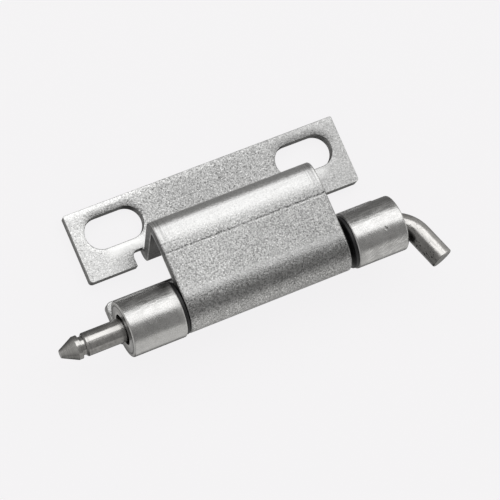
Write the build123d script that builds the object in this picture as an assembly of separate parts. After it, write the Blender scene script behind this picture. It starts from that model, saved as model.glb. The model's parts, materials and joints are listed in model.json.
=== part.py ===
from build123d import *
from math import cos, radians, sin, tan
import os

os.makedirs("parts", exist_ok=True)

# Concealed hinge with a draw-out pin. Millimetres, +Z up, X along the pin.
# The origin is the centre of the slot line, on the back face of the frame leaf's plate.

# Sheet stock and pin wire
sheet_t = 2.5
strip_t = 2.5
pin_r = 2.5

# Both leaves are cut to one length, and the door leaf stands a little towards the handle
leaf_length = 62.7
door_shift = 0.25

# Frame leaf: plate
slot_margin = 2.7
plate_far = 6.0
pin_to_slots = 21.9
pin_height = 11.8
slot_length = 13.0
slot_width = 7.2
plate_corner_r = 0.8
plate_sharp_r = 0.35
plate_edge_r = 0.12

# Frame leaf: gooseneck, given from the pin axis
neck_width = 36.8
neck_reach = 18.25
riser_lean = 15.5
plate_bend_r = 0.3
arch_bend_r = 0.7
crown_fall = 14.0
crown_r = 15.0
crown_width = 2.0
curl_start = 104.0
curl_blend_r = 10.0
curl_gap = 0.35
notch_width = 2.35
notch_depth = 3.2
notch_past_bend = 0.15
notch_corner_r = 1.3
neck_edge_r = 0.4
tolerance = 0.001

# Door leaf: strip and knuckles. The swing gap is left under the strip where it folds over the slope.
leaf_gap = 0.3
swing_gap = 0.1
weld_flat = 0.05
strip_near = 1.8
strip_far = 7.2
strip_corner_r = 1.2
strip_edge_r = 0.3
knuckle_edge_r = 0.35

# Bushes: a collar with a long spigot in the knuckle and a short one in the curl
bush_clearance = 0.05
bush_wall = 0.75
curl_spigot_wall = 0.55
curl_clearance = 0.1
curl_spigot_length = 6.0
flange_t = 0.7
flange_inset = 0.35
flange_edge_r = 0.15
left_play = 0.2
right_play = 1.0

# Hinge pin
point_length = 3.3
point_tip_r = 0.85
point_head = 0.9
groove_width = 0.95
groove_depth = 0.55
groove_chamfer = 0.3
pin_overhang = 8.7
handle_angle = 72.5
handle_roll = 8.0
handle_bend_r = 6.3
handle_tuck = 2.45
handle_clearance = 0.05
handle_length = 11.6
handle_end_r = 0.35

# Fits that follow from the sizes above
bush_bore_r = pin_r + bush_clearance
bush_r = bush_bore_r + bush_wall
curl_spigot_r = bush_bore_r + curl_spigot_wall
bore_r = curl_spigot_r + curl_clearance
curl_r = bore_r + sheet_t
leaf_drop = curl_r + leaf_gap
slope_top = leaf_drop - swing_gap
slot_pitch = leaf_length - slot_length - 2 * slot_margin
plate_top = sheet_t - pin_height
arch_outer_r = arch_bend_r + sheet_t
arch_u = neck_reach - arch_outer_r
crown_drop = crown_width * tan(radians(crown_fall))
arch_v = slope_top - crown_drop - arch_outer_r / cos(radians(crown_fall))
knuckle_r = leaf_drop + weld_flat
flange_r = knuckle_r - flange_inset
neck_side = neck_width / 2
left_inner = -(neck_side + left_play + flange_t)
left_end = door_shift - leaf_length / 2
right_inner = neck_side + right_play + flange_t
right_end = door_shift + leaf_length / 2
spigot_length = right_end - right_inner - handle_tuck - handle_clearance

# Section plane: local x points from the pin axis to the plate, local y up, local z along the pin
section = Plane(origin=(0, -pin_to_slots, pin_height), x_dir=(0, 1, 0), z_dir=(1, 0, 0))


def riser_at(v, bend_r):
    """Distance from the pin axis of the leaning riser's face at height v."""
    lean = radians(riser_lean)
    return arch_u + bend_r / cos(lean) + (v - arch_v) * tan(lean)


def bend_line():
    """Distance from the pin axis where the plate's flat ends and its bend starts."""
    top_corner = riser_at(plate_top, arch_outer_r)
    return top_corner + plate_bend_r * tan(radians(45 + riser_lean / 2))


def notch_root():
    """Distance from the pin axis to the roots of the notches, just past the bend."""
    return bend_line() + notch_past_bend


def crown_at(u, bend_r):
    """Height of the falling crown's face at distance u from the pin axis."""
    fall = radians(crown_fall)
    return arch_v + bend_r / cos(fall) - (u - arch_u) * tan(fall)


def arch_corner(bend_r):
    """Point where the faces of the riser and the crown would meet without their bend."""
    lean = tan(radians(riser_lean))
    fall = tan(radians(crown_fall))
    base = riser_at(arch_v, bend_r)
    rise = (crown_at(base, bend_r) - arch_v) / (1 + lean * fall)
    return (base + rise * lean, arch_v + rise)


def crown_corner(height, bend_r):
    """Point where the faces of the crown and the flat slope would meet without their bend."""
    fall = radians(crown_fall)
    return (arch_u + (arch_v + bend_r / cos(fall) - height) / tan(fall), height)


def curl_point(radius):
    """Point where the round of the curl starts."""
    turn = radians(curl_start)
    return (radius * cos(turn), radius * sin(turn))


def curl_corner(height, radius):
    """Point where the flat slope and the line that touches the curl's start would meet."""
    start = curl_point(radius)
    return (start[0] + (height - start[1]) / tan(radians(curl_start - 90)), height)


def sheet_face(offset):
    """One face of the bent sheet from plate to curl: offset 0 is the show face."""
    bend_r = arch_outer_r - offset
    radii = [plate_bend_r + offset, bend_r, crown_r - offset, curl_blend_r - offset]
    low = plate_top - offset
    high = slope_top - offset
    points = [
        (notch_root(), low),
        (riser_at(low, bend_r), low),
        arch_corner(bend_r),
        crown_corner(high, bend_r),
        curl_corner(high, curl_r - offset),
        curl_point(curl_r - offset),
    ]
    return FilletPolyline(*points, radius=radii)


def curl_wrap():
    """Angle in degrees that the curl runs on from its start, almost back to the leaf."""
    end_height = bore_r - curl_gap
    end_turn = Vector(1, 0).get_angle(Vector((curl_r**2 - end_height**2) ** 0.5, end_height))
    return 360 - curl_start + end_turn


def show_path():
    """Middle line of the show face from the plate to the curl's end."""
    curl = CenterArc((0, 0), curl_r, curl_start, curl_wrap())
    return [section * edge for edge in [*sheet_face(0).edges(), curl]]


def neck_section():
    """Closed outline of the plate stub, riser, arch, crown, slope and rolled curl."""
    wrap = curl_wrap()
    show_face = sheet_face(0)
    hidden_face = sheet_face(sheet_t)
    outer_curl = CenterArc((0, 0), curl_r, curl_start, wrap)
    inner_curl = CenterArc((0, 0), bore_r, curl_start, wrap)
    curl_end = Line(outer_curl @ 1, inner_curl @ 1)
    stub_end = Line(show_face @ 0, hidden_face @ 0)
    return make_face([*show_face.edges(), outer_curl, curl_end, inner_curl, *hidden_face.edges(), stub_end])


def plate():
    """Flat of the frame leaf, with a relief notch at each side of the gooseneck."""
    root = notch_root() - pin_to_slots
    near = root - notch_depth
    blank = Plane.XY * Pos(0, (plate_far + near) / 2) * Rectangle(leaf_length, plate_far - near)
    blank = fillet(blank.vertices().group_by(Axis.Y)[0], plate_corner_r)
    blank = fillet(blank.vertices().group_by(Axis.Y)[-1], plate_sharp_r)
    opening = Pos(0, near) * Rectangle(2 * (neck_side + notch_width), 2 * notch_depth)
    opening = fillet(opening.vertices().group_by(Axis.Y)[-1], notch_corner_r)
    blank -= opening
    return extrude(blank, sheet_t)


def slots():
    """Cutters for the two obround screw slots."""
    outline = SlotOverall(slot_length, slot_width)
    places = GridLocations(slot_pitch, 0, 2, 1)
    return extrude(Sketch() + [place * outline for place in places], 3 * sheet_t, both=True)


def on_plate_face(edge):
    """True for an edge of the plate's show face, where the punch rounds the outline."""
    middle = edge @ 0.5
    on_face = abs(middle.Z - sheet_t) < tolerance
    return on_face and (abs(middle.X) > tolerance or middle.Y > plate_far - tolerance)


def on_neck_side(edge):
    """True for an edge along either side of the gooseneck's show face."""
    middle = edge @ 0.5
    if abs(abs(middle.X) - neck_side) > tolerance or middle.Z < sheet_t + tolerance:
        return False
    return any(path.distance_to(Vector(0, middle.Y, middle.Z)) < tolerance for path in show_path())


def frame_leaf():
    """Plate and gooseneck, bent from one sheet."""
    neck = extrude(section * neck_section(), neck_side, both=True)
    leaf = plate() - slots() + neck
    leaf = fillet(leaf.edges().filter_by(on_neck_side), neck_edge_r)
    return fillet(leaf.edges().filter_by(on_plate_face), plate_edge_r)


def door_strip():
    """Weld-on strip behind the barrels; its top face carries both knuckles."""
    width = strip_near + strip_far
    outline = Rectangle(leaf_length, width)
    outline = fillet(outline.vertices(), strip_corner_r)
    middle = (door_shift, (strip_far - strip_near) / 2 - pin_to_slots)
    strip = Pos(*middle, pin_height - leaf_drop) * extrude(outline, -strip_t)
    return fillet(strip.edges().group_by(Axis.Z)[-1], strip_edge_r)


def knuckle(start, end):
    """Tube with rounded rims and a narrow flat where it is welded to the strip."""
    length = end - start
    tube = extrude(section * Pos(0, 0, start) * Circle(knuckle_r), length)
    tube = fillet(tube.edges(), knuckle_edge_r)
    tube -= extrude(section * Pos(0, 0, start) * Circle(bush_r), length)
    under = section * Pos(0, -leaf_drop - strip_t / 2, start + length / 2)
    return tube - under * Box(2 * knuckle_r, strip_t, length)


def bush(face, outward):
    """Collared bush, its long spigot pressed into a knuckle on the outward side of the face."""
    profile = Polyline(
        (-curl_spigot_length, bush_bore_r),
        (flange_t + spigot_length, bush_bore_r),
        (flange_t + spigot_length, bush_r),
        (flange_t, bush_r),
        (flange_t, flange_r),
        (0, flange_r),
        (0, curl_spigot_r),
        (-curl_spigot_length, curl_spigot_r),
        close=True,
    )
    body = revolve(Plane.XZ * make_face(profile), Axis.X)
    rim = body.edges().filter_by(GeomType.CIRCLE).filter_by(lambda e: e.radius > bush_r + flange_edge_r)
    body = fillet(rim, flange_edge_r)
    if outward < 0:
        body = mirror(body, Plane.YZ)
    return Pos(face, -pin_to_slots, pin_height) * body


def pin_point():
    """Turned end of the pin: cone, head, snap groove and chamfered shoulder."""
    shoulder = left_end - pin_overhang
    groove_start = shoulder - groove_width
    head_start = groove_start - point_head
    tip = head_start - point_length
    groove_r = pin_r - groove_depth
    profile = Polyline(
        (tip, 0),
        (tip, point_tip_r),
        (head_start, pin_r),
        (groove_start, pin_r),
        (groove_start, groove_r),
        (shoulder, groove_r),
        (shoulder, pin_r - groove_chamfer),
        (shoulder + groove_chamfer, pin_r),
        (left_end, pin_r),
        (left_end, 0),
        close=True,
    )
    return revolve(Plane.XZ * make_face(profile), Axis.X)


def pin_rod():
    """Straight shaft and bent handle of the pin, swept in one piece."""
    bend_start = right_end - handle_tuck
    elbow = bend_start + handle_bend_r * tan(radians(handle_angle / 2))
    arm = Vector(1, 0, 0).rotate(Axis.Z, -handle_angle) * handle_length
    path = FilletPolyline((left_end, 0), (elbow, 0), (elbow + arm.X, arm.Y), radius=handle_bend_r)
    rod = sweep(Plane(origin=(left_end, 0, 0), z_dir=(1, 0, 0)) * Circle(pin_r), path)
    end_rim = rod.edges().sort_by(Axis.Y)[0]
    rod = fillet(end_rim, handle_end_r)
    return rod.rotate(Axis.X, -handle_roll)


def hinge_pin():
    """Pin with its turned point at the left and its bent handle at the right."""
    return Pos(0, -pin_to_slots, pin_height) * (pin_point() + pin_rod())


nodes = {
    "frame_leaf": frame_leaf(),
    "door_strip": door_strip(),
    "left_knuckle": knuckle(left_end, left_inner),
    "right_knuckle": knuckle(right_inner, right_end),
    "left_bush": bush(-neck_side - left_play, -1),
    "right_bush": bush(neck_side + right_play, 1),
    "hinge_pin": hinge_pin(),
}

for name, solid in nodes.items():
    export_step(solid, f"parts/{name}.step")
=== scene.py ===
import json
from math import cos, pi, radians, sin

import bmesh
import bpy
from bpy.props import FloatProperty, FloatVectorProperty, PointerProperty
from mathutils import Matrix, Vector


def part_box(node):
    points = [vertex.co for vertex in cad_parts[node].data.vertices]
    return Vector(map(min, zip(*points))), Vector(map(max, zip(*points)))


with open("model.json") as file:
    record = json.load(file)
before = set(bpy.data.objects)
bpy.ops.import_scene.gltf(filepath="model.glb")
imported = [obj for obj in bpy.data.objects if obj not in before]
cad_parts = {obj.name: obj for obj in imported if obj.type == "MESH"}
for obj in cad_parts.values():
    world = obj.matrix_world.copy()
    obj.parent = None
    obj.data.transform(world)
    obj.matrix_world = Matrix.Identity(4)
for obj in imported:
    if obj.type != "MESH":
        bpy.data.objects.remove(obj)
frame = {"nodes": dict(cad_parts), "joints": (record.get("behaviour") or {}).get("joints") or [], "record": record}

bl_info = {
    "name": "Concealed hinge",
    "version": (1, 0, 0),
    "blender": (4, 5, 0),
    "location": "3D View > Sidebar > Hinge",
    "description": "Finishes of a concealed hinge with a draw-out pin, and its studio",
    "category": "Object",
}

# Places on the hinge in millimetres, read from the frame where it gives them
MM = 0.001
SLOTS = frame["record"]["mounts"][0]["dims"]
SLOT_X = SLOTS["spacing_x_mm"] / 2
SLOT_R = SLOTS["hole_r_mm"]
SLOT_STRAIGHT = SLOTS["slot_length_mm"] / 2 - SLOT_R
PIN_Y, PIN_Z = [coordinate / MM for coordinate in frame["joints"][0]["pos_m"][1:]]
LEAF_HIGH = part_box("frame_leaf")[1] / MM
PLATE_TOP = 2.5
SHEET = 2.5

# Gooseneck: the line where the arch meets the slope, the arch's centre and radius, and how far the
# crown falls and the riser leans
CREASE_Y = PIN_Y + 10.5
ARCH_Y, ARCH_Z, ARCH_R = PIN_Y + 15.05, PIN_Z + 2.1, 3.2
CROWN_FALL, RISER_LEAN = radians(14), radians(15.5)

# Gooseneck: where a finish fades in, up from the plate, up to the crest and out to the two ends
NECK_RISE = (5, 9)
NECK_CREST = (16, 16.8)
NECK_ENDS = (14.4, 17.8)

# Plate: how wide the punch drew the face down, at the near and far side of the slots and at the far
# edge, where the calmer plating of the tabs fades in, where the left tab's smoother plating and its
# painted light fade in, and the pressed band on the near side of the slots, smoother and painted lighter
NEAR_ROLL, FAR_ROLL, EDGE_ROLL = 1.1, 1.9, 1.2
TABS_X, LEFT_TAB_X = (12, 24), (-6, -27)
PRESSED_Y, PRESSED_REACH = -4.7, 2.1
PRESSED_X, PRESSED_SOFT = (16, 24), 3

# Knuckles: the rubbed length and the nick of the right one, and the turned groove and the bore's lip in
# the end faces
RUBBED_X, RUBBED_SOFT = (22, 30.6), 1.2
NICK_X, NICK_Y, NICK_Z = 27.2, PIN_Y - 1.05, 17.76
GROOVE_R, LIP_R = 5.15, 4.1

# Pin: where its cone and its handle start, how the handle is turned, and how the wire's grain is drawn
CONE_X, HANDLE_X = -38.2, 31
HANDLE_TURN = radians(72.5)
WIRE_DRAW = (0.07, 1, 1)

# Values between which a noise is faded, from its dark to its light parts
NOISE_DARK, NOISE_LIGHT = 0.3, 0.7

# Studio in metres: the point that the lights face and how far they stand, the floor's reach, and how
# little it lies under the hinge
LIT_POINT = Vector((0, -0.015, 0.01))
LIGHT_DISTANCE = 1.2
FLOOR_REACH = 4
FLOOR_DROP = 0.00005

# Shares of its colour that the floor reflects and that it gives off, and the tints of light and room
FLOOR_LIT, FLOOR_GLOW = 0.07, 0.955
WARM_LIGHT = (1, 0.99, 0.97)
ROOM_COLOUR = (1, 0.99, 0.975)


class SheetFinish(bpy.types.PropertyGroup):
    colour: FloatVectorProperty(
        name="Colour", description="Reflected colour of the plated sheet", subtype="COLOR", size=3,
        default=(0.67, 0.67, 0.665), min=0, max=1,
    )
    grain: FloatProperty(
        name="Grain", description="Grains of the mottled plating per millimetre", default=2.9, min=0.1,
    )
    roughness: FloatProperty(
        name="Roughness", description="Roughness of the mottled plating", subtype="FACTOR",
        default=0.4, min=0, max=1,
    )
    burnish: FloatProperty(
        name="Burnish", description="Roughness where the bending tool rubbed the arch", subtype="FACTOR",
        default=0.33, min=0, max=1,
    )
    roll: FloatProperty(
        name="Punch roll", description="How far in millimetres the punch drew the face down at the slots",
        default=0.13, min=0, max=0.5,
    )


class TurnedFinish(bpy.types.PropertyGroup):
    colour: FloatVectorProperty(
        name="Colour", description="Reflected colour of the knuckles", subtype="COLOR", size=3,
        default=(0.68, 0.677, 0.668), min=0, max=1,
    )
    roughness: FloatProperty(
        name="Roughness", description="Roughness of the turned tube", subtype="FACTOR",
        default=0.27, min=0, max=1,
    )
    pin_colour: FloatVectorProperty(
        name="Pin colour", description="Reflected colour of the pin wire", subtype="COLOR", size=3,
        default=(0.55, 0.54, 0.525), min=0, max=1,
    )
    pin_roughness: FloatProperty(
        name="Pin roughness", description="Roughness of the drawn wire", subtype="FACTOR",
        default=0.23, min=0, max=1,
    )


class BushFinish(bpy.types.PropertyGroup):
    colour: FloatVectorProperty(
        name="Colour", description="Colour of the moulded bushes", subtype="COLOR", size=3,
        default=(0.01, 0.01, 0.011), min=0, max=1,
    )
    roughness: FloatProperty(
        name="Roughness", description="Roughness of the moulded bushes", subtype="FACTOR",
        default=0.45, min=0, max=1,
    )


class Studio(bpy.types.PropertyGroup):
    floor_colour: FloatVectorProperty(
        name="Floor", description="Colour of the pale floor", subtype="COLOR", size=3,
        default=(0.905, 0.896, 0.905), min=0, max=1,
    )
    camera_place: FloatVectorProperty(
        name="Camera", description="Where the camera stands", subtype="TRANSLATION", unit="LENGTH",
        size=3, default=(-0.13818, -0.0864, 0.48788),
    )
    camera_aim: FloatVectorProperty(
        name="Aim", description="Point that the camera looks at", subtype="TRANSLATION", unit="LENGTH",
        size=3, default=(0.00183, -0.01529, 0.006),
    )
    camera_roll: FloatProperty(
        name="Roll", description="Turn of the camera about its line of sight", subtype="ANGLE",
        default=radians(40.627),
    )
    lens: FloatProperty(
        name="Lens", description="Focal length in millimetres", default=175, min=10,
    )
    key: FloatProperty(
        name="Key", description="Brightness of the overhead softbox", default=1.3, min=0,
    )
    fill: FloatProperty(
        name="Fill", description="Brightness of the low fill light", default=0.4, min=0,
    )
    glow: FloatProperty(
        name="Glow", description="Brightness under the left end", default=0.5, min=0,
    )
    room: FloatProperty(
        name="Room", description="Brightness of the dim room around", default=0.21, min=0,
    )
    ends: FloatProperty(
        name="Ends", description="How much brighter the room is past the pin's ends", default=2.2, min=0,
    )


class Finish:
    """One procedural material, its pattern measured in millimetres on Object coordinates."""

    def __init__(self, name):
        self.material = bpy.data.materials.new(name)
        self.material.use_nodes = True
        self.tree = self.material.node_tree
        self.tree.nodes.clear()
        self.shader = self.tree.nodes.new("ShaderNodeBsdfPrincipled")
        output = self.tree.nodes.new("ShaderNodeOutputMaterial")
        self.tree.links.new(self.shader.outputs["BSDF"], output.inputs["Surface"])
        coordinates = self.tree.nodes.new("ShaderNodeTexCoord")
        self.place = self.mapped(coordinates.outputs["Object"], scale=(1 / MM, 1 / MM, 1 / MM))
        self.x, self.y, self.z = self.split(self.place)
        self.nx, self.ny, self.nz = self.split(coordinates.outputs["Normal"])

    def put(self, socket, value):
        """Links a socket to another one, or sets it to a plain value."""
        if isinstance(value, bpy.types.NodeSocket):
            self.tree.links.new(value, socket)
        else:
            socket.default_value = value

    def mapped(self, vector, place=(0, 0, 0), turn=(0, 0, 0), scale=(1, 1, 1)):
        """The vector scaled, then turned, then moved."""
        node = self.tree.nodes.new("ShaderNodeMapping")
        self.put(node.inputs["Vector"], vector)
        node.inputs["Location"].default_value = place
        node.inputs["Rotation"].default_value = turn
        node.inputs["Scale"].default_value = scale
        return node.outputs["Vector"]

    def split(self, vector):
        node = self.tree.nodes.new("ShaderNodeSeparateXYZ")
        self.put(node.inputs["Vector"], vector)
        return node.outputs["X"], node.outputs["Y"], node.outputs["Z"]

    def join(self, x, y, z):
        node = self.tree.nodes.new("ShaderNodeCombineXYZ")
        self.put(node.inputs["X"], x)
        self.put(node.inputs["Y"], y)
        self.put(node.inputs["Z"], z)
        return node.outputs["Vector"]

    def length(self, x, y, z):
        node = self.tree.nodes.new("ShaderNodeVectorMath")
        node.operation = "LENGTH"
        self.put(node.inputs[0], self.join(x, y, z))
        return node.outputs["Value"]

    def dot(self, x, y, direction):
        """How far the point at x, y lies along a direction."""
        return self.plus(self.times(x, direction[0]), self.times(y, direction[1]))

    def math(self, operation, a, b=0.0):
        node = self.tree.nodes.new("ShaderNodeMath")
        node.operation = operation
        self.put(node.inputs[0], a)
        self.put(node.inputs[1], b)
        return node.outputs["Value"]

    def size(self, value):
        """The value without its sign."""
        return self.math("ABSOLUTE", value)

    def plus(self, *values):
        total = values[0]
        for value in values[1:]:
            total = self.math("ADD", total, value)
        return total

    def minus(self, a, b):
        return self.math("SUBTRACT", a, b)

    def times(self, *values):
        product = values[0]
        for value in values[1:]:
            product = self.math("MULTIPLY", product, value)
        return product

    def greatest(self, *values):
        most = values[0]
        for value in values[1:]:
            most = self.math("MAXIMUM", most, value)
        return most

    def noise(self, vector, scale, detail=2.0, roughness=0.5):
        node = self.tree.nodes.new("ShaderNodeTexNoise")
        self.put(node.inputs["Vector"], vector)
        node.inputs["Scale"].default_value = scale
        node.inputs["Detail"].default_value = detail
        node.inputs["Roughness"].default_value = roughness
        return node.outputs["Fac"]

    def drawn_out(self, axes, scale, detail, roughness=0.5):
        """Noise drawn out along each axis that has a small share, as rolling or bending leaves it."""
        return self.noise(self.mapped(self.place, scale=axes), scale, detail, roughness)

    def fade(self, value, start, end, low=0.0, high=1.0):
        """Low where the value is at the start, easing to high where it is at the end."""
        node = self.tree.nodes.new("ShaderNodeMapRange")
        node.interpolation_type = "SMOOTHSTEP"
        self.put(node.inputs["Value"], value)
        node.inputs["From Min"].default_value = start
        node.inputs["From Max"].default_value = end
        node.inputs["To Min"].default_value = low
        node.inputs["To Max"].default_value = high
        return node.outputs["Result"]

    def shaded(self, noise, low, high):
        """Low in the dark parts of a noise and high in its light ones."""
        return self.fade(noise, NOISE_DARK, NOISE_LIGHT, low, high)

    def near(self, value, middle, width):
        """1 where the value is at the middle, falling to 0 at the given distance from it."""
        return self.fade(self.size(self.minus(value, middle)), 0, width, 1, 0)

    def within(self, value, start, end, soft):
        """1 between start and end, falling to 0 over the soft distance outside them."""
        return self.times(self.fade(value, start - soft, start), self.fade(value, end, end + soft, 1, 0))

    def blend(self, factor, a, b):
        """The value a where the factor is 0, and b where it is 1."""
        node = self.tree.nodes.new("ShaderNodeMix")
        self.put(node.inputs["Factor"], factor)
        self.put(node.inputs[2], a)
        self.put(node.inputs[3], b)
        return node.outputs[0]

    def tint(self, shade, colour):
        """The colour times a shade, as a colour."""
        node = self.tree.nodes.new("ShaderNodeMix")
        node.data_type = "RGBA"
        node.blend_type = "MULTIPLY"
        node.inputs["Factor"].default_value = 1
        node.inputs[6].default_value = (*colour, 1)
        self.put(node.inputs[7], shade)
        return node.outputs[2]

    def bump(self, height, under=None):
        """Surface raised by a height in millimetres, on top of another bump if one is given."""
        node = self.tree.nodes.new("ShaderNodeBump")
        node.inputs["Distance"].default_value = MM
        self.put(node.inputs["Height"], height)
        if under is not None:
            self.put(node.inputs["Normal"], under)
        return node.outputs["Normal"]

    def plated(self, shade, colour, roughness, normal):
        """Joins the worked-out finish to the metal shader."""
        self.put(self.shader.inputs["Base Color"], self.tint(shade, colour))
        self.shader.inputs["Metallic"].default_value = 1
        self.put(self.shader.inputs["Roughness"], roughness)
        self.put(self.shader.inputs["Normal"], normal)
        return self.material


def dress(node, material):
    """Puts one material on a carried-over piece."""
    obj = frame["nodes"][node]
    obj.data.materials.clear()
    obj.data.materials.append(material)


def mottle(f, scale):
    """Light and dark grains of zinc plating, from 0 to 1."""
    return f.fade(f.noise(f.place, scale, 2.5, 0.6), 0.36, 0.64)


def flecks(f, scale, place):
    """Sparse crystals of the plating, 1 in the middle of each."""
    return f.fade(f.noise(f.mapped(f.place, place=place), scale, 1), 0.58, 0.68)


def punch_roll(f):
    """How far the punch drew a point of the plate's face down, in shares of the roll setting."""
    from_slot_middle = f.size(f.minus(f.size(f.x), SLOT_X))
    along = f.greatest(f.minus(from_slot_middle, SLOT_STRAIGHT), 0)
    from_slot = f.minus(f.length(along, f.y, 0), SLOT_R)
    spread = f.fade(f.y, -1, 1, NEAR_ROLL, FAR_ROLL)
    from_far_edge = f.minus(LEAF_HIGH.y, f.y)
    slot_roll = f.greatest(f.minus(1, f.math("DIVIDE", from_slot, spread)), 0)
    edge_roll = f.greatest(f.minus(1, f.math("DIVIDE", from_far_edge, EDGE_ROLL)), 0)
    rolled = f.plus(f.times(slot_roll, slot_roll, spread), f.times(edge_roll, edge_roll, 0.5))
    above_side = f.fade(f.z, PLATE_TOP - 0.4, PLATE_TOP - 0.1)
    below_neck = f.fade(f.z, PLATE_TOP + 0.7, PLATE_TOP + 0.3)
    return f.times(rolled, above_side, below_neck)


def sheet_depth(f):
    """How deep a point of the gooseneck's side lies under its show face."""
    u, v = f.minus(f.y, ARCH_Y), f.minus(f.z, ARCH_Z)
    from_crown = f.dot(u, v, (sin(CROWN_FALL), cos(CROWN_FALL)))
    from_riser = f.dot(u, v, (cos(RISER_LEAN), -sin(RISER_LEAN)))
    past_crown = f.fade(f.dot(u, v, (cos(CROWN_FALL), -sin(CROWN_FALL))), -0.1, 0.1)
    past_riser = f.fade(f.dot(u, v, (sin(RISER_LEAN), cos(RISER_LEAN))), -0.1, 0.1)
    flat = f.greatest(from_crown, from_riser)
    reach = f.blend(f.times(past_crown, past_riser), flat, f.length(u, v, 0))
    return f.math("MINIMUM", f.minus(ARCH_R, reach), f.minus(LEAF_HIGH.z, f.z))


def sheet_material(settings):
    """Mottled plating, burnished where the arch was bent, with rolled and sheared punch edges."""
    f = Finish("plated_sheet")
    grain = mottle(f, settings.grain)
    bright = flecks(f, 3.0, (31, 7, 5))
    dark = flecks(f, 3.2, (3, 41, 17))
    cloud = f.fade(f.noise(f.place, 0.24, 2), 0.35, 0.65)

    # Areas of the leaf, 1 inside each
    plate = f.fade(f.z, PLATE_TOP + 0.9, PLATE_TOP + 0.2)
    above = f.fade(f.z, *NECK_RISE)
    curled = f.times(f.within(f.y, PIN_Y - 2.5, PIN_Y + 1, 1.8), above)
    left_tab = f.fade(f.x, *LEFT_TAB_X)
    tabs = f.times(plate, f.fade(f.size(f.x), *TABS_X))
    calm = f.greatest(tabs, curled)
    # The pressed band beside the slots: smoother plating, with a painted highlight that is stronger to the left
    beside_slots = f.within(f.size(f.x), *PRESSED_X, PRESSED_SOFT)
    pressed_with_highlight = f.times(plate, f.near(f.y, PRESSED_Y, PRESSED_REACH), beside_slots)
    pressed_with_highlight = f.times(pressed_with_highlight, f.fade(f.x, 10, -10, 0.5, 1))
    # A painted highlight along the plate's far rim, stronger to the left
    rim_height = f.fade(f.y, LEAF_HIGH.y - 1.6, LEAF_HIGH.y - 0.3)
    far_rim_highlight = f.times(plate, rim_height, f.fade(f.x, 12, -12, 0.3, 1))
    arch = f.times(f.fade(f.y, CREASE_Y + 0.5, CREASE_Y + 3.8), above)

    # Lines that the bending tool left, drawn out along the bend and round it
    streaks = f.drawn_out((0.12, 1, 1), 1.8, 2)
    ends = f.fade(f.size(f.x), *NECK_ENDS)
    bend_lines = f.fade(f.drawn_out((1, 0.03, 0.03), 3.0, 1), 0.45, 0.6)
    bend_lines = f.times(bend_lines, ends, arch)
    curl_lines = f.fade(f.drawn_out((1, 0.05, 0.05), 2.6, 1), 0.45, 0.65)
    curl_lines = f.times(curl_lines, ends, f.fade(f.y, PIN_Y + 3, PIN_Y - 1))

    # Painted shade in the crease where the arch meets the slope, a painted highlight on its ridge, and
    # painted shade along a short line at the left
    wander = f.times(f.minus(f.noise(f.join(f.x, 0, 0), 0.3, 1), 0.5), 0.12)
    line = f.plus(f.y, wander)
    on_top = f.fade(f.z, *NECK_CREST)
    crease_shade = f.times(f.near(line, CREASE_Y, 0.34), on_top)
    ridge_highlight = f.times(f.near(line, CREASE_Y - 0.4, 0.26), on_top)
    short_line_shade = f.times(f.near(line, CREASE_Y + 1.9, 0.24), on_top, f.fade(f.x, -13, -15.5))

    # Sheared edges, with a smooth band under the show face and a torn one below that, painted much darker
    # than the plating, partly their own sheared finish and partly painted shade; on the neck's sides, a
    # painted dark line along the show face and a painted highlight along the inner edge
    side = f.fade(f.size(f.nx), 0.75, 0.95)
    rim = f.times(f.fade(f.size(f.nz), 0.6, 0.3), plate)
    edge = f.greatest(side, rim)
    torn = f.drawn_out((1, 1, 0.5), 2.2, 3, 0.65)
    depth = sheet_depth(f)
    inner_edge_highlight = f.times(f.near(depth, SHEET - 0.25, 0.4), 0.5)
    cut = f.plus(f.fade(f.z, 1.5, 2.0, 0.22, 0.36), f.times(f.fade(f.z, 0.35, 0.1), 0.15))
    side_shade = f.plus(f.blend(f.fade(depth, 0.5, 0.1), 0.28, 0.12), inner_edge_highlight)
    edge_shade = f.times(f.shaded(torn, 0.55, 1.3), f.blend(plate, side_shade, cut))

    # Painted shade on faces turned into the gooseneck's hollow and under its neck, which light hardly reaches
    hollow_shade = f.times(f.fade(f.ny, -0.5, -0.8), f.fade(f.y, -15, -13), f.fade(f.size(f.x), 19, 18.6))
    under = f.times(f.fade(f.nz, -0.3, -0.8), above)

    # Shade, from the mottled plating to the marks on it
    # Painted light: the slope darker to the right and lighter on the near, lower side of the curl, and the plate
    # lighter at its ends and most at the left tab, as the lamps fall on them
    slope_painted_light = f.times(f.fade(f.x, -18, 18, 0.86, 0.71), f.fade(f.y, PIN_Y - 3, PIN_Y - 4.5, 1, 1.15))
    painted_light_tone = f.blend(plate, slope_painted_light, f.blend(left_tab, f.fade(f.x, 12, 28, 0.76, 0.83), 1.08))
    mottled = f.plus(f.blend(grain, 0.5, 1.1), f.times(bright, 0.5), f.times(dark, -0.36))
    mottled = f.plus(0.8, f.times(f.minus(mottled, 0.8), f.blend(calm, 1, 0.62)))
    mottled = f.times(mottled, f.blend(cloud, 0.97, 1.03), painted_light_tone)
    # Painted highlights on the pressed band and along the far rim
    mottled = f.times(f.blend(pressed_with_highlight, mottled, 1.12), f.plus(1, f.times(far_rim_highlight, 0.3)))
    smooth = f.plus(1.0, f.times(f.minus(streaks, 0.5), 0.16), f.times(f.minus(grain, 0.5), 0.16),
                    f.times(bright, 0.08), f.times(dark, -0.16), f.times(bend_lines, -0.34))
    shade = f.blend(arch, mottled, smooth)
    shade = f.plus(shade, f.times(crease_shade, -0.33), f.times(ridge_highlight, 0.2), f.times(short_line_shade, -0.3),
                   f.times(curl_lines, -0.12))
    shade = f.blend(edge, shade, edge_shade)
    # Painted shade on the faces in the hollow and under the neck
    shade = f.times(shade, f.blend(f.greatest(hollow_shade, under), 1, 0.17))

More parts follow.
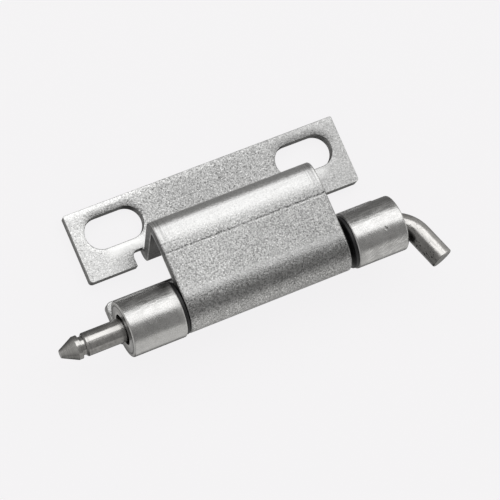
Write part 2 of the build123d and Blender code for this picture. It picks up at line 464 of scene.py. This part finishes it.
    rough = f.blend(arch, f.blend(f.times(left_tab, plate), settings.roughness, 0.32), settings.burnish)
    rough = f.blend(curled, rough, 0.3)
    rough = f.plus(rough, f.times(f.minus(grain, 0.5), f.blend(arch, 0.12, 0.05)))
    rough = f.blend(pressed_with_highlight, rough, 0.3)
    rough = f.blend(edge, rough, 0.5)

    # Relief in millimetres
    smoothed = f.greatest(arch, pressed_with_highlight, f.times(curled, 0.8))
    grain_height = f.times(f.plus(grain, bright), f.blend(f.greatest(smoothed, tabs), 0.012, 0.006))
    line_height = f.plus(f.times(bend_lines, 0.006), f.times(curl_lines, 0.003))
    height = f.plus(grain_height, line_height, f.times(streaks, arch, 0.008), f.times(torn, edge, 0.03))
    rolled = f.bump(f.times(punch_roll(f), -settings.roll))
    return f.plated(shade, settings.colour, rough, f.bump(height, under=rolled))


def strip_material(settings):
    """Plain plated strip with a fine rolled grain, its side faces painted dark, partly their sheared finish and
    partly painted shade.
    """
    f = Finish("plated_strip")
    grain = mottle(f, settings.grain)
    rolled = f.drawn_out((0.06, 1, 1), 2.2, 3)
    edge = f.fade(f.size(f.nz), 0.6, 0.3)
    patch = f.noise(f.place, 1.3, 3, 0.65)
    shade = f.times(f.blend(grain, 0.7, 0.95), f.shaded(rolled, 0.88, 1.05))
    # Side faces painted dark, partly their sheared finish and partly painted shade
    shade = f.blend(edge, shade, f.fade(patch, 0.35, 0.7, 0.15, 0.4))
    rough = f.blend(edge, f.fade(grain, 0, 1, 0.26, 0.36), 0.42)
    return f.plated(shade, settings.colour, rough, f.bump(f.times(grain, 0.008)))


def knuckle_material(settings):
    """Tube with lengthwise streaks, grooved end faces, scratches low at the right and one nick."""
    f = Finish("turned_tube")
    rings = f.drawn_out((1, 0.04, 0.04), 5, 2)
    long_streaks = f.drawn_out((0.2, 1, 1), 1.7, 3)
    cloud = f.noise(f.place, 0.5, 3, 0.6)
    grain = f.fade(f.noise(f.place, 3.4, 2, 0.6), 0.34, 0.66)
    face = f.fade(f.size(f.nx), 0.7, 0.95)
    from_axis = f.length(0, f.minus(f.y, PIN_Y), f.minus(f.z, PIN_Z))

    # Marks, 1 in the middle of each
    rubbed = f.times(f.within(f.x, *RUBBED_X, RUBBED_SOFT), f.fade(f.y, PIN_Y - 3, PIN_Y - 4.4),
                     f.fade(f.z, 8, 10))
    slanted = f.join(f.times(f.x, 0.12), f.minus(f.z, f.times(f.x, 0.34)), 0)
    scratches = f.fade(f.size(f.minus(f.noise(slanted, 2.6, 1), 0.5)), 0.06, 0.01)
    scratches = f.times(scratches, rubbed)
    from_nick = f.length(f.minus(f.x, NICK_X), f.times(f.minus(f.y, NICK_Y), 0.6), f.minus(f.z, NICK_Z))
    nick = f.fade(from_nick, 0.45, 0.2)
    nick = f.times(nick, f.fade(f.plus(f.x, f.y), 4.6, 4.3))
    # The turned groove, with painted shade in it, and the bore's lip, with a painted highlight on it
    groove = f.times(f.near(from_axis, GROOVE_R, 0.3), face)
    lip = f.times(f.fade(from_axis, LIP_R, LIP_R - 0.4), face)
    bush_rim = f.fade(f.size(f.x), 20.9, 19.8)

    # Shade, with streaks along the upper side; painted shade on the far side beneath the strip, on the
    # underside and on the near side of the right knuckle; and end faces painted darker low and lighter high
    shade = f.times(f.shaded(cloud, 0.92, 1.04), f.shaded(long_streaks, 0.97, 1.02))
    fine_streaks = f.drawn_out((0.16, 1, 1), 3.0, 2)
    upper = f.fade(f.ny, 0.1, 0.4)
    shade = f.times(shade, f.blend(upper, 1, f.fade(fine_streaks, 0.35, 0.65, 0.7, 1.12)))
    low = f.fade(f.ny, -0.4, -0.8)
    shade = f.times(shade, f.fade(f.nz, 0.3, -0.05, 1, 0.38), f.fade(f.ny, 0.5, 0.78, 1, 0.68))
    shade = f.times(shade, f.blend(low, 1, f.fade(f.x, 0, 26, 1, 0.8)))
    shade = f.times(shade, f.blend(grain, 0.88, 1.05))
    shade = f.times(shade, f.blend(face, 1, f.fade(f.z, 8, 14, 0.5, 1.1)))
    shade = f.plus(shade, f.times(scratches, 0.38), f.times(nick, -0.4), f.times(groove, -0.45),
                   f.times(lip, 0.15))

    rough = f.plus(settings.roughness, f.times(f.minus(cloud, 0.5), 0.12), f.times(face, 0.1),
                   f.times(bush_rim, 0.12))

    # Relief in millimetres
    height = f.plus(f.times(rings, 0.002), f.times(long_streaks, 0.0012), f.times(grain, 0.004),
                    f.times(scratches, -0.004), f.times(nick, -0.04), f.times(groove, -0.03),
                    f.times(lip, -0.05))
    return f.plated(shade, settings.colour, rough, f.bump(height))


def pin_material(settings):
    """Drawn wire with a turned point, and small marks of the bending tool on the handle."""
    f = Finish("drawn_pin")
    arm = f.mapped(f.place, turn=(0, 0, HANDLE_TURN))
    arm = f.mapped(arm, scale=WIRE_DRAW)
    along_shaft = f.drawn_out(WIRE_DRAW, 2.0, 2)
    along_arm = f.noise(arm, 2.0, 2)
    drawn = f.blend(f.fade(f.y, PIN_Y + 0.5, PIN_Y - 2.5), along_shaft, along_arm)
    turned = f.drawn_out((1, 0.02, 0.02), 6, 2)
    point = f.fade(f.x, CONE_X, CONE_X - 0.8)
    bent = f.fade(f.x, HANDLE_X, HANDLE_X + 2)
    cloud = f.noise(f.place, 0.8, 2, 0.5)
    dents = f.times(f.fade(f.noise(f.place, 1.6, 2, 0.6), 0.6, 0.68), bent)
    texture = f.blend(point, drawn, turned)
    shade = f.times(f.shaded(texture, 0.82, 1.1), f.shaded(cloud, 0.9, 1.05))
    # Painted shade on the underside and on faces turned to the left, and on the cone painted light above and
    # painted shade below
    cone = f.times(point, f.fade(f.size(f.nx), 0.2, 0.4))
    shade = f.times(shade, f.fade(f.nz, 0.95, 0.58, 1.12, 0.62), f.fade(f.nx, -0.15, -0.6, 1, 0.5))
    shade = f.plus(shade, f.times(dents, -0.3), f.times(cone, f.fade(f.nz, 0.2, 0.8, -0.1, 0.35)))
    rough = f.shaded(cloud, settings.pin_roughness - 0.03, settings.pin_roughness + 0.05)
    height = f.plus(f.times(texture, f.blend(point, 0.004, 0.0015)), f.times(dents, -0.012))
    return f.plated(shade, settings.pin_colour, rough, f.bump(height))


def bush_material(settings):
    """Black moulded plastic with a fine satin grain."""
    f = Finish("moulded_bush")
    grain = f.noise(f.place, 6, 2)
    dust = f.fade(f.noise(f.place, 2.5, 3, 0.7), 0.6, 0.75)
    shade = f.plus(f.shaded(grain, 0.8, 1.2), f.times(dust, 1.2))
    rough = f.shaded(grain, settings.roughness - 0.06, settings.roughness + 0.08)
    f.put(f.shader.inputs["Base Color"], f.tint(shade, settings.colour))
    f.put(f.shader.inputs["Roughness"], rough)
    f.put(f.shader.inputs["Normal"], f.bump(f.times(grain, 0.008)))
    return f.material


def softbox(name, direction, size, brightness, colour=(1, 1, 1)):
    """Area light that faces the hinge from a direction; brightness is what a mirror would show."""
    light = bpy.data.lights.new(name, "AREA")
    light.shape = "RECTANGLE"
    light.size, light.size_y = size
    light.energy = brightness * pi * size[0] * size[1]
    light.color = colour
    obj = bpy.data.objects.new(name, light)
    bpy.context.scene.collection.objects.link(obj)
    away = Vector(direction).normalized()
    facing = away.to_track_quat("Z", "Y").to_matrix().to_4x4()
    obj.matrix_world = Matrix.Translation(LIT_POINT + away * LIGHT_DISTANCE) @ facing


class HINGE_OT_leaf_finish(bpy.types.Operator):
    """Plates the frame leaf, the door strip and their sheared edges"""

    bl_idname = "hinge.leaf_finish"
    bl_label = "Finish leaves"

    def execute(self, context):
        settings = context.scene.hinge_sheet
        dress("frame_leaf", sheet_material(settings))
        dress("door_strip", strip_material(settings))
        return {"FINISHED"}


class HINGE_OT_turned_finish(bpy.types.Operator):
    """Finishes the two knuckles and the hinge pin"""

    bl_idname = "hinge.turned_finish"
    bl_label = "Finish knuckles and pin"

    def execute(self, context):
        settings = context.scene.hinge_turned
        tube = knuckle_material(settings)
        dress("left_knuckle", tube)
        dress("right_knuckle", tube)
        dress("hinge_pin", pin_material(settings))
        return {"FINISHED"}


class HINGE_OT_bush_finish(bpy.types.Operator):
    """Finishes the two moulded bushes"""

    bl_idname = "hinge.bush_finish"
    bl_label = "Finish bushes"

    def execute(self, context):
        moulded = bush_material(context.scene.hinge_bush)
        dress("left_bush", moulded)
        dress("right_bush", moulded)
        return {"FINISHED"}


class HINGE_OT_stage(bpy.types.Operator):
    """Lays the pale floor and sets the lights, the room and the camera"""

    bl_idname = "hinge.stage"
    bl_label = "Set studio"

    def execute(self, context):
        scene, settings = context.scene, context.scene.hinge_studio
        self.floor(scene, settings)
        self.lights(settings)
        self.room(scene, settings)
        self.camera(scene, settings)
        scene.view_settings.view_transform = "Standard"
        return {"FINISHED"}

    def floor(self, scene, settings):
        """A pale sheet that shows in no reflection and holds back no light from below."""
        mesh = bpy.data.meshes.new("floor")
        shape = bmesh.new()
        bmesh.ops.create_grid(shape, x_segments=2, y_segments=2, size=FLOOR_REACH)
        bmesh.ops.translate(shape, verts=shape.verts, vec=(0, 0, -FLOOR_DROP))
        shape.to_mesh(mesh)
        shape.free()
        floor = bpy.data.objects.new("floor", mesh)
        scene.collection.objects.link(floor)
        floor.visible_glossy = False
        floor.visible_shadow = False
        material = bpy.data.materials.new("pale_floor")
        material.use_nodes = True
        pale = material.node_tree.nodes["Principled BSDF"]
        pale.inputs["Base Color"].default_value = (*[FLOOR_LIT * c for c in settings.floor_colour], 1)
        pale.inputs["Roughness"].default_value = 1
        pale.inputs["Specular IOR Level"].default_value = 0
        pale.inputs["Emission Color"].default_value = (*settings.floor_colour, 1)
        pale.inputs["Emission Strength"].default_value = FLOOR_GLOW
        mesh.materials.append(material)

    def lights(self, settings):
        """The overhead light, the low one in front, and the one below the left end."""
        softbox("key", direction=(0.2, 0.43, 0.88), size=(2.2, 1.1), brightness=settings.key)
        softbox("fill", direction=(0.25, -0.9, -0.34), size=(2.2, 1.8), brightness=settings.fill,
                colour=WARM_LIGHT)
        softbox("glow", direction=(-0.4, 0.15, -0.9), size=(0.8, 0.8), brightness=settings.glow,
                colour=WARM_LIGHT)

    def room(self, scene, settings):
        """The dim room, brighter past the pin's ends, with the floor's colour as the backdrop."""
        world = bpy.data.worlds.new("room")
        scene.world = world
        world.use_nodes = True
        nodes, links = world.node_tree.nodes, world.node_tree.links
        dim = nodes["Background"]
        dim.inputs["Color"].default_value = (*ROOM_COLOUR, 1)
        sight = nodes.new("ShaderNodeTexCoord")
        parts = nodes.new("ShaderNodeSeparateXYZ")
        square = nodes.new("ShaderNodeMath")
        square.operation = "MULTIPLY"
        brighter = nodes.new("ShaderNodeMath")
        brighter.operation = "MULTIPLY_ADD"
        brighter.inputs[1].default_value = settings.room * settings.ends
        brighter.inputs[2].default_value = settings.room
        links.new(sight.outputs["Generated"], parts.inputs["Vector"])
        links.new(parts.outputs["X"], square.inputs[0])
        links.new(parts.outputs["X"], square.inputs[1])
        links.new(square.outputs["Value"], brighter.inputs[0])
        links.new(brighter.outputs["Value"], dim.inputs["Strength"])
        pale = nodes.new("ShaderNodeBackground")
        pale.inputs["Color"].default_value = (*settings.floor_colour, 1)
        path = nodes.new("ShaderNodeLightPath")
        choice = nodes.new("ShaderNodeMixShader")
        links.new(path.outputs["Is Camera Ray"], choice.inputs["Fac"])
        links.new(dim.outputs[0], choice.inputs[1])
        links.new(pale.outputs[0], choice.inputs[2])
        links.new(choice.outputs["Shader"], nodes["World Output"].inputs["Surface"])

    def camera(self, scene, settings):
        data = bpy.data.cameras.new("camera")
        data.lens = settings.lens
        data.clip_start = 0.01
        camera = bpy.data.objects.new("camera", data)
        scene.collection.objects.link(camera)
        place = Vector(settings.camera_place)
        sight = (Vector(settings.camera_aim) - place).to_track_quat("-Z", "Y").to_matrix().to_4x4()
        roll = Matrix.Rotation(settings.camera_roll, 4, "Z")
        camera.matrix_world = Matrix.Translation(place) @ sight @ roll
        scene.camera = camera


class HINGE_PT_panel(bpy.types.Panel):
    """Lists the settings of each finish and of the studio, with the button that uses them"""

    bl_label = "Concealed hinge"
    bl_idname = "HINGE_PT_panel"
    bl_space_type = "VIEW_3D"
    bl_region_type = "UI"
    bl_category = "Hinge"

    def draw(self, context):
        for name, group, operator in STEPS:
            box = self.layout.box()
            settings = getattr(context.scene, name)
            for setting in group.__annotations__:
                box.prop(settings, setting)
            box.operator(operator.bl_idname)


STEPS = (
    ("hinge_sheet", SheetFinish, HINGE_OT_leaf_finish),
    ("hinge_turned", TurnedFinish, HINGE_OT_turned_finish),
    ("hinge_bush", BushFinish, HINGE_OT_bush_finish),
    ("hinge_studio", Studio, HINGE_OT_stage),
)


def register():
    for name, group, operator in STEPS:
        bpy.utils.register_class(group)
        setattr(bpy.types.Scene, name, PointerProperty(type=group))
        bpy.utils.register_class(operator)
    bpy.utils.register_class(HINGE_PT_panel)


def unregister():
    bpy.utils.unregister_class(HINGE_PT_panel)
    for name, group, operator in reversed(STEPS):
        bpy.utils.unregister_class(operator)
        delattr(bpy.types.Scene, name)
        bpy.utils.unregister_class(group)


def main():
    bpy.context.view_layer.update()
    register()
    bpy.ops.hinge.leaf_finish()
    bpy.ops.hinge.turned_finish()
    bpy.ops.hinge.bush_finish()
    bpy.ops.hinge.stage()


if __name__ == "__main__":
    main()
